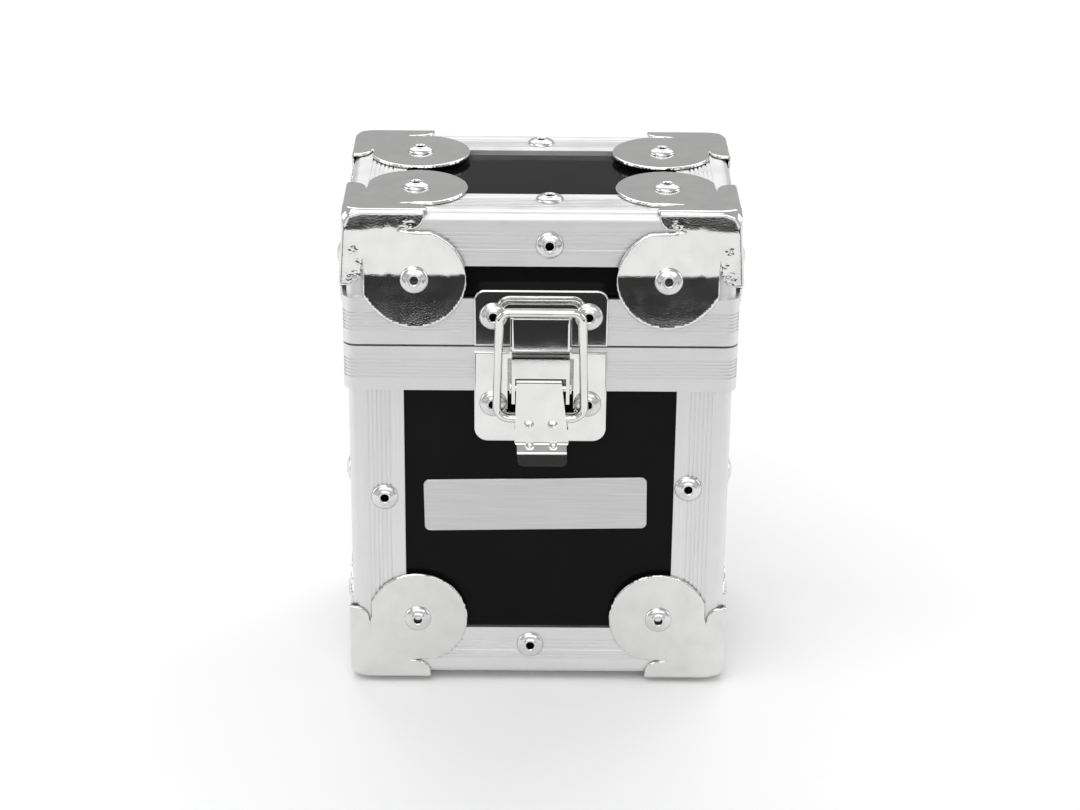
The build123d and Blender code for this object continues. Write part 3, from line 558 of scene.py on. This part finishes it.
class CASE_OT_corners(Operator):
    """Presses the eight corners: folded strips along the edges, with a disc on every face"""

    bl_idname = "case.corners"
    bl_label = "Pressed Corners"

    def execute(self, context):
        rise = context.scene.case_sizes.leg_rise / MM
        levels = (("base", base_bottom, 1, (0, 0, 0)), ("lid", lid_top, -1, (rise, rise, 0)))
        sides = ((-1, "left"), (1, "right"))
        depths = ((-1, "front", front_y), (1, "back", back_y))
        for (body, level, inward, rises), (side, side_name), (depth, depth_name, face_y) in product(
            levels, sides, depths
        ):
            mesh = corner_mesh(rises, 11 * side + 5 * depth + 2 * inward)
            axes = Matrix.Diagonal((-side, -depth, inward))
            tip = Vector((side * half_width, face_y, level)) - axes @ Vector((SHEET,) * 3)
            place = Matrix.Translation(tip) @ axes.to_4x4()
            bmesh.ops.transform(mesh, matrix=place, verts=mesh.verts)
            if axes.determinant() < 0:
                bmesh.ops.reverse_faces(mesh, faces=mesh.faces)
            node = f"{body}_corner_{depth_name}_{side_name}"
            make_piece(
                mesh,
                f"pressed_{node}",
                body,
                ["nickelled_pressed_steel"],
                [node],
                flat=True,
            )
        return {"FINISHED"}


def rivet_heads(node):
    """The seat and outward direction of every rivet in a CAD node, read from its loose solids."""
    mesh = bmesh.new()
    mesh.from_mesh(frame["nodes"][node].data)
    bmesh.ops.remove_doubles(mesh, verts=mesh.verts, dist=1e-6)
    # Dictionaries keep the mesh's own order, so that the rivets come in the same one on each run.
    left = dict.fromkeys(mesh.verts)
    seats = []
    while left:
        start = next(iter(left))
        del left[start]
        island, reached = [], [start]
        while reached:
            vertex = reached.pop()
            island.append(vertex)
            for link in vertex.link_edges:
                other = link.other_vert(vertex)
                if other in left:
                    del left[other]
                    reached.append(other)
        # The widest disc of faces is the flat under the head, whose normal points inwards.
        faces = dict.fromkeys(face for vertex in island for face in vertex.link_faces)
        flats = {}
        for face in faces:
            flats.setdefault(tuple(round(c, 2) for c in face.normal), []).append(face)
        under = max(flats.values(), key=lambda group: sum(f.calc_area() for f in group))
        points = [v.co for f in under for v in f.verts]
        reach = [p.dot(-under[0].normal) for p in points]
        seat = max(reach)
        rim = [p for p, r in zip(points, reach) if r > seat - 1e-6]
        low = Vector([min(p[i] for p in rim) for i in range(3)])
        high = Vector([max(p[i] for p in rim) for i in range(3)])
        seats.append(((low + high) / 2 / MM, -under[0].normal.copy()))
    mesh.free()
    return seats


def rivet_mesh():
    """A blind rivet's head: a low dome, a raised ring round the hole, and its bore, painted near
    black as painted shade.
    """
    ring = bpy.context.scene.case_sizes.ring / MM
    profile = [
        (1.6, -1.2),
        (1.6, 0.0),
        (3.1, 0.0),
        (3.22, 0.05),
        (3.25, 0.14),
        (3.2, 0.3),
        (2.95, 0.55),
        (2.6, 0.76),
        (2.2, 0.9),
        (ring + 0.42, 0.95),
        (ring + 0.28, 1.03),
        (ring + 0.12, 1.15),
        (ring - 0.1, 1.19),
        (1.2, 1.15),
        (1.02, 1.02),
        (0.95, 0.85),
        (0.95, -0.95),
        (0.0, -1.0),
    ]
    mesh = bmesh.new()
    points = [mesh.verts.new((x, 0, z)) for x, z in profile]
    edges = [mesh.edges.new(pair) for pair in zip(points, points[1:])]
    bmesh.ops.spin(
        mesh,
        geom=points + edges,
        cent=(0, 0, 0),
        axis=(0, 0, 1),
        angle=2 * pi,
        steps=40,
        use_merge=True,
    )
    bmesh.ops.remove_doubles(mesh, verts=mesh.verts, dist=1e-4)
    bmesh.ops.holes_fill(mesh, edges=mesh.edges, sides=0)
    bmesh.ops.recalc_face_normals(mesh, faces=mesh.faces)
    # The bore's walls and floor take the second, near-black material: painted shade in the hole.
    bore = 0.96
    for face in mesh.faces:
        centre = face.calc_center_median()
        if centre.z < 0.9 and centre.xy.length < bore:
            face.material_index = 1
    return mesh


class CASE_OT_rivets(Operator):
    """Sets every blind rivet, with its domed head and painted shade in its hole"""

    bl_idname = "case.rivets"
    bl_label = "Blind Rivets"

    def execute(self, context):
        groups = [name for name in frame["nodes"] if name.endswith("_rivets")]
        for node in groups:
            whole = bmesh.new()
            for index, (seat, outward) in enumerate(rivet_heads(node)):
                head = rivet_mesh()
                turn = outward.to_track_quat("Z", "Y").to_matrix().to_4x4()
                spin = Matrix.Rotation(1.7 * index, 4, "Z")
                place = Matrix.Translation(seat) @ turn @ spin
                bmesh.ops.transform(head, matrix=place, verts=head.verts)
                data = bpy.data.meshes.new("head")
                head.to_mesh(data)
                head.free()
                whole.from_mesh(data)
                bpy.data.meshes.remove(data)
            body = frame["nodes"][node]["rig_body"]
            make_piece(
                whole,
                f"set_{node}",
                body,
                ["bright_rivet_aluminium", "painted_shade_rivet_bore"],
                [node],
            )
        return {"FINISHED"}


def soften(mesh, edges, amount, segments):
    """Rounds some edges of a mesh."""
    bmesh.ops.bevel(
        mesh,
        geom=edges,
        offset=amount,
        offset_type="OFFSET",
        segments=segments,
        profile=0.5,
        affect="EDGES",
        clamp_overlap=True,
        material=-1,
    )


def sharp_edges(mesh, least=40):
    """Edges of a closed mesh that turn by more than the least angle in degrees."""
    return [e for e in mesh.edges if e.is_manifold and e.calc_face_angle() > radians(least)]


def welded_copy(node, edge):
    """A CAD node's mesh, welded, with its flat faces whole and its sharp edges broken."""
    mesh = bmesh.new()
    mesh.from_mesh(frame["nodes"][node].data)
    bmesh.ops.scale(mesh, vec=(1 / MM,) * 3, verts=mesh.verts)
    bmesh.ops.remove_doubles(mesh, verts=mesh.verts, dist=1e-3)
    bmesh.ops.dissolve_limit(
        mesh, angle_limit=radians(0.4), verts=mesh.verts, edges=mesh.edges, delimit={"NORMAL"}
    )
    if edge:
        soften(mesh, sharp_edges(mesh), edge, 2)
    return mesh


class CASE_OT_profiles(Operator):
    """Finishes the grooved aluminium profiles and rim bands with smooth rounded edges"""

    bl_idname = "case.profiles"
    bl_label = "Grooved Profiles"

    def execute(self, context):
        for node, cad in frame["nodes"].items():
            if "edge_profile" not in node and "upright" not in node and "rim_band" not in node:
                continue
            axis = "z" if "upright" in node else "y" if node.endswith(("left", "right")) else "x"
            make_piece(
                welded_copy(node, 0),
                f"drawn_{node}",
                cad["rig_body"],
                [f"extruded_aluminium_{axis}"],
                [node],
                sharp=25,
                flat=True,
            )
        return {"FINISHED"}


def hook_mesh(rounding):
    """The catch plate's hook: a pressed pocket with rounded edges, open at its top."""
    # It stands a little proud of the hook in its node all round, so that it covers it.
    width, rise, proud, buried = 14.3, 7.95, 0.14, 0.4
    wall, depth, lip = 0.75, 4, 0.2
    low_z, high_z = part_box("latch_catch_plate")[0].z / MM, lid_bottom + rise
    back, front = pin_y + PIN_REACH + buried, pin_y - proud
    middle = Vector((0, (back + front) / 2, (low_z + high_z) / 2))
    mesh = bmesh.new()
    bmesh.ops.create_cube(mesh, size=1)
    bmesh.ops.scale(mesh, vec=(width, back - front, high_z - low_z), verts=mesh.verts)
    bmesh.ops.translate(mesh, vec=middle, verts=mesh.verts)
    in_front = [e for e in mesh.edges if all(v.co.y < middle.y for v in e.verts)]
    pressed = [e for e in in_front if any(v.co.z < middle.z for v in e.verts)]
    soften(mesh, pressed, rounding, 6)
    top = max(mesh.faces, key=lambda f: f.calc_center_median().z)
    bmesh.ops.inset_region(mesh, faces=[top], thickness=wall, use_even_offset=True)
    sunk = bmesh.ops.extrude_discrete_faces(mesh, faces=[top])["faces"]
    bmesh.ops.translate(mesh, vec=(0, 0, -depth), verts=sunk[0].verts)
    soften(mesh, sharp_edges(mesh), lip, 3)
    return mesh


def side_path():
    """The lever's side view as reach and height: its curled top, straight run, knee and tab."""
    path = arc((3.75, 82.6), 0.6, 200, 0, 12)
    path += arc((5.25, 67.5), 0.9, 180, 212, 6)
    path += arc((4.885, 64.97), 0.8, 32, 6, 6)
    path.append((5.98, 62.0))
    return [Vector(point) for point in path]


def along(path, distance):
    """The point and the outward direction at a distance along a path."""
    for start, end in zip(path, path[1:]):
        span = (end - start).length
        if distance <= span or end == path[-1]:
            run = (end - start) / span
            return start + run * distance, Vector((-run.y, run.x))
        distance -= span


def lever_half(height, left_over):
    """Half of the lever's width: it widens down to the knee, and the tab's corners are round."""
    half = 5.2 + 1.15 * max(0.0, min(1.0, (83 - height) / 15.8))
    half -= 0.55 * eased(67.4 - height, 0, 0.8)
    corner = 1.4
    if left_over < corner:
        half -= corner - (corner**2 - (corner - left_over) ** 2) ** 0.5
    return half


def lever_relief(x, height, bead, dimple):
    """How far the lever's sheet stands out at a point: two beads, each below a dent."""
    from_middle = abs(x) - 2.75
    beading = (1 - eased(abs(from_middle), 0.25, 0.95)) * eased(72.6 - height, 0, 0.8)
    beading *= 1 - eased(66.9 - height, 0, 0.9)
    from_dent = ((from_middle / 1.15) ** 2 + ((height - 72.2) / 0.8) ** 2) ** 0.5
    return bead * beading - dimple * (1 - eased(from_dent, 0.6, 1.0))


def lever_sheet(mesh, bead, dimple):
    """Bends a grid into the lever's sheet, with its curl, dents, beads, knee and tab."""
    thickness, broken = 0.5, 0.1
    path = side_path()
    total = sum((b - a).length for a, b in zip(path, path[1:]))
    bmesh.ops.create_grid(mesh, x_segments=52, y_segments=100, size=0.5)
    side, run = (mesh.verts.layers.float.new(name) for name in ("side", "run"))
    for vertex in mesh.verts:
        vertex[side], vertex[run] = vertex.co.xy
    back = bmesh.ops.extrude_face_region(mesh, geom=mesh.faces[:])["geom"]
    behind = {item for item in back if isinstance(item, bmesh.types.BMVert)}
    for vertex in mesh.verts:
        passed = (0.5 - vertex[run]) * total
        (reach, height), outward = along(path, passed)
        x = 2 * vertex[side] * lever_half(height, total - passed)
        proud = lever_relief(x, height, bead, dimple) - thickness * (vertex in behind)
        vertex.co = (x, -(reach + outward.x * proud), height + outward.y * proud)
    soften(mesh, sharp_edges(mesh, 70), broken, 2)


def lever_cheeks(mesh):
    """Adds the lever's two cheeks, which are folded back beside it and hold the eye."""
    side_view = [(0.7, 70.8), (3.9, 70.8), (3.9, 80.6), (1.7, 80.6), (0.7, 74.4)]
    in_from_edge = (0.75, 0.05)
    away_from_tab = 9
    for side in (-1, 1):
        ring = [mesh.verts.new((0, -reach, height)) for reach, height in side_view]
        cheek = bmesh.ops.extrude_face_region(mesh, geom=[mesh.faces.new(ring)])["geom"]
        outer = [item for item in cheek if isinstance(item, bmesh.types.BMVert)]
        for vertices, inset in zip((ring, outer), in_from_edge):
            for vertex in vertices:
                vertex.co.x = side * (lever_half(vertex.co.z, away_from_tab) - inset)


def lever_eye(mesh):
    """Adds the lever's eye, a tube that turns on the pin."""
    radii, length = (1.7, 0.95), 9.6
    rings = [bmesh.ops.create_circle(mesh, segments=28, radius=radius)["verts"] for radius in radii]
    loops = {e for ring in rings for v in ring for e in v.link_edges}
    washer = bmesh.ops.bridge_loops(mesh, edges=list(loops))["faces"]
    tube = bmesh.ops.extrude_face_region(mesh, geom=washer)["geom"]
    far = [item for item in tube if isinstance(item, bmesh.types.BMVert)]
    bmesh.ops.translate(mesh, vec=(0, 0, length), verts=far)
    turn = Matrix.Rotation(pi / 2, 4, "Y")
    place = Matrix.Translation((-length / 2, -PIN_REACH, pin_z))
    bmesh.ops.transform(mesh, matrix=place @ turn, verts=far + [v for ring in rings for v in ring])


def lever_mesh(bead, dimple):
    """The whole lever: its shaped sheet, its cheeks and its eye."""
    mesh = bmesh.new()
    lever_sheet(mesh, bead, dimple)
    lever_cheeks(mesh)
    lever_eye(mesh)
    bmesh.ops.recalc_face_normals(mesh, faces=mesh.faces)
    # It hangs a little askew in its bracket.
    askew, level = 0.045, 75
    for vertex in mesh.verts:
        vertex.co.x += askew * (level - vertex.co.z)
        vertex.co.y += pin_y + PIN_REACH
    return mesh


class CASE_OT_latch(Operator):
    """Makes the latch: both plates, the hook, the lever on its pin and the wire bail"""

    bl_idname = "case.latch"
    bl_label = "Draw Latch"

    def execute(self, context):
        sizes = context.scene.case_sizes
        edge = sizes.edge / MM
        pieces = [
            (welded_copy("latch_catch_plate", edge), "plated_catch_plate", "latch_catch_plate"),
            (hook_mesh(sizes.press / MM), "pressed_hook", "latch_catch_plate"),
            (welded_copy("latch_base_plate", edge * 1.6), "plated_base_plate", "latch_base_plate"),
            (lever_mesh(sizes.bead / MM, sizes.dimple / MM), "pressed_lever", "latch_lever"),
            (welded_copy("latch_lever_pin", edge), "plated_lever_pin", "latch_lever_pin"),
            (welded_copy("latch_bail", 0), "bent_wire_bail", "latch_bail"),
        ]
        for mesh, name, node in pieces:
            make_piece(
                mesh,
                name,
                frame["nodes"][node]["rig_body"],
                ["bright_nickel_plate"],
                [node],
                flat=True,
            )
        return {"FINISHED"}


class CASE_OT_hinge(Operator):
    """Finishes the butt hinge on the back with its rolled knuckles and headed pin"""

    bl_idname = "case.hinge"
    bl_label = "Butt Hinge"

    def execute(self, context):
        edge = context.scene.case_sizes.edge / MM
        for node in ("hinge_base_leaf", "hinge_lid_leaf", "hinge_pin"):
            make_piece(
                welded_copy(node, edge),
                f"plated_{node}",
                frame["nodes"][node]["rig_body"],
                ["rolled_zinc_plate"],
                [node],
                flat=True,
            )
        return {"FINISHED"}


class CASE_OT_walls(Operator):
    """Gives the panels, the linings and the bare nameplate their finishes"""

    bl_idname = "case.walls"
    bl_label = "Panels and Nameplate"

    def execute(self, context):
        for node, cad in frame["nodes"].items():
            if node.endswith("_panel"):
                wanted = "black_laminate"
            elif node.endswith("_lining"):
                wanted = "flocked_foam"
            else:
                continue
            cad.data.materials.clear()
            cad.data.materials.append(finishes()[wanted])
        make_piece(
            welded_copy("nameplate", 0.18),
            "brushed_nameplate_plate",
            "base",
            ["brushed_nameplate"],
            ["nameplate"],
            flat=True,
        )
        return {"FINISHED"}


def soft_box(name, place, target, size, power):
    """A large square lamp aimed at a point."""
    data = bpy.data.lights.new(name, "AREA")
    data.shape = "RECTANGLE"
    data.size, data.size_y = size
    data.energy = power
    lamp = bpy.data.objects.new(name, data)
    bpy.context.scene.collection.objects.link(lamp)
    lamp.location = place
    lamp.rotation_euler = (Vector(target) - Vector(place)).to_track_quat("-Z", "Y").to_euler()


def laid_sheet(name, material, size, place):
    """A flat rectangle on the table, with its size and its middle in metres."""
    mesh = bmesh.new()
    bmesh.ops.create_grid(mesh, x_segments=1, y_segments=1, size=0.5)
    matrix = Matrix.Translation(place) @ Matrix.Diagonal((*size, 1, 1))
    bmesh.ops.transform(mesh, matrix=matrix, verts=mesh.verts)
    data = bpy.data.meshes.new(name)
    mesh.to_mesh(data)
    mesh.free()
    data.materials.append(material)
    sheet = bpy.data.objects.new(name, data)
    bpy.context.scene.collection.objects.link(sheet)
    return sheet


def studio_paper():
    """Matt white background paper, with a trace of unevenness."""
    paper, tree, shader, place = new_material("studio_paper", [("Roughness", 0.8)])
    mottle = noise_node(tree, 8, 4, place)
    shade = add_node(tree, "ShaderNodeValToRGB", links=[("Fac", mottle.outputs["Fac"])])
    shade.color_ramp.elements[0].color = (0.88, 0.88, 0.88, 1)
    shade.color_ramp.elements[1].color = (0.92, 0.92, 0.92, 1)
    tree.links.new(shade.outputs["Color"], shader.inputs["Base Color"])
    return paper


def photo_camera():
    """The view found by fitting the case's own edges to the photograph."""
    rise, swing, roll = radians(23.86), radians(-0.47), radians(0.57)
    distance, middle_x, middle_z = 0.6405, 0.19, 59.49
    # The fitted focal length is in pixels of the photograph, which is this many pixels wide.
    focal_pixels, photo_width, sensor = 2594.7, 1080, 36
    ahead = Vector((-sin(swing) * cos(rise), cos(swing) * cos(rise), -sin(rise)))
    right = Vector((cos(swing), sin(swing), 0))
    up = right.cross(ahead)
    level = right * cos(roll) + up * sin(roll)
    upright = up * cos(roll) - right * sin(roll)
    target = Vector((middle_x, (front_y + back_y) / 2, middle_z + base_bottom)) * MM
    data = bpy.data.cameras.new("photo_camera")
    data.sensor_fit = "HORIZONTAL"
    data.sensor_width = sensor
    data.lens = focal_pixels / photo_width * sensor
    data.clip_start = 0.01
    camera = bpy.data.objects.new("photo_camera", data)
    bpy.context.scene.collection.objects.link(camera)
    turn = Matrix((level, upright, -ahead)).transposed().to_4x4()
    camera.matrix_world = Matrix.Translation(target - ahead * distance) @ turn
    return camera


class CASE_OT_stage(Operator):
    """Sets the pale floor, the soft studio light and the camera at the photograph's angle"""

    bl_idname = "case.stage"
    bl_label = "Studio"

    def execute(self, context):
        scene = context.scene
        floor = laid_sheet("studio_floor", studio_paper(), (6, 6), (0, 0, 0))
        # A dark cloth lies in front of the case and is seen only in the bright metal.
        cloth_look = new_material(
            "dark_cloth",
            [
                ("Roughness", 0.9),
                ("Specular IOR Level", 0.2),
                ("Base Color", (0.012, 0.012, 0.012, 1)),
            ],
        )[0]
        cloth = laid_sheet("dark_cloth", cloth_look, (2.4, 0.1615), (0, -0.3238, 0.0005))
        cloth.visible_camera = cloth.visible_diffuse = cloth.visible_shadow = False
        soft_box("key_box", (-0.35, -0.55, 1.25), (0, 0, 0.05), (1.1, 0.9), 6)
        soft_box("back_box", (0.1, 0.9, 1.15), (0, 0, 0.0), (1.8, 0.8), 9)
        soft_box("front_box", (0.1, -1.6, 0.75), (0, 0, 0.06), (2.0, 0.7), 7.5)
        soft_box("left_box", (-1.3, 0.0, 0.5), (0, 0, 0.06), (0.8, 0.8), 3.5)
        soft_box("right_box", (1.3, 0.1, 0.5), (0, 0, 0.06), (0.8, 0.8), 3.5)
        world = bpy.data.worlds.new("studio_air")
        world.use_nodes = True
        air = world.node_tree.nodes["Background"]
        air.inputs["Color"].default_value = (1, 1, 1, 1)
        air.inputs["Strength"].default_value = 0.5
        scene.world = world
        scene.view_settings.view_transform = "Standard"
        scene.camera = photo_camera()
        return {"FINISHED"}


class CASE_PT_tools(Panel):
    """Sizes, colours and steps of the riveted case"""

    bl_idname = "CASE_PT_tools"
    bl_label = "Riveted Case"
    bl_space_type = "VIEW_3D"
    bl_region_type = "UI"
    bl_category = "Case"

    def draw(self, context):
        for group in (context.scene.case_sizes, context.scene.case_colours):
            box = self.layout.box()
            for name in group.__annotations__:
                box.prop(group, name)
        for step in steps:
            self.layout.operator(step.bl_idname)


steps = [
    CASE_OT_walls,
    CASE_OT_profiles,
    CASE_OT_corners,
    CASE_OT_rivets,
    CASE_OT_latch,
    CASE_OT_hinge,
    CASE_OT_stage,
]
classes = [CaseSizes, CaseColours, *steps, CASE_PT_tools]


def register():
    for cls in classes:
        bpy.utils.register_class(cls)
    bpy.types.Scene.case_sizes = PointerProperty(type=CaseSizes)
    bpy.types.Scene.case_colours = PointerProperty(type=CaseColours)


def unregister():
    del bpy.types.Scene.case_colours
    del bpy.types.Scene.case_sizes
    for cls in reversed(classes):
        bpy.utils.unregister_class(cls)


def main():
    register()
    for step in steps:
        group, _, name = step.bl_idname.partition(".")
        getattr(getattr(bpy.ops, group), name)()


if __name__ == "__main__":
    main()
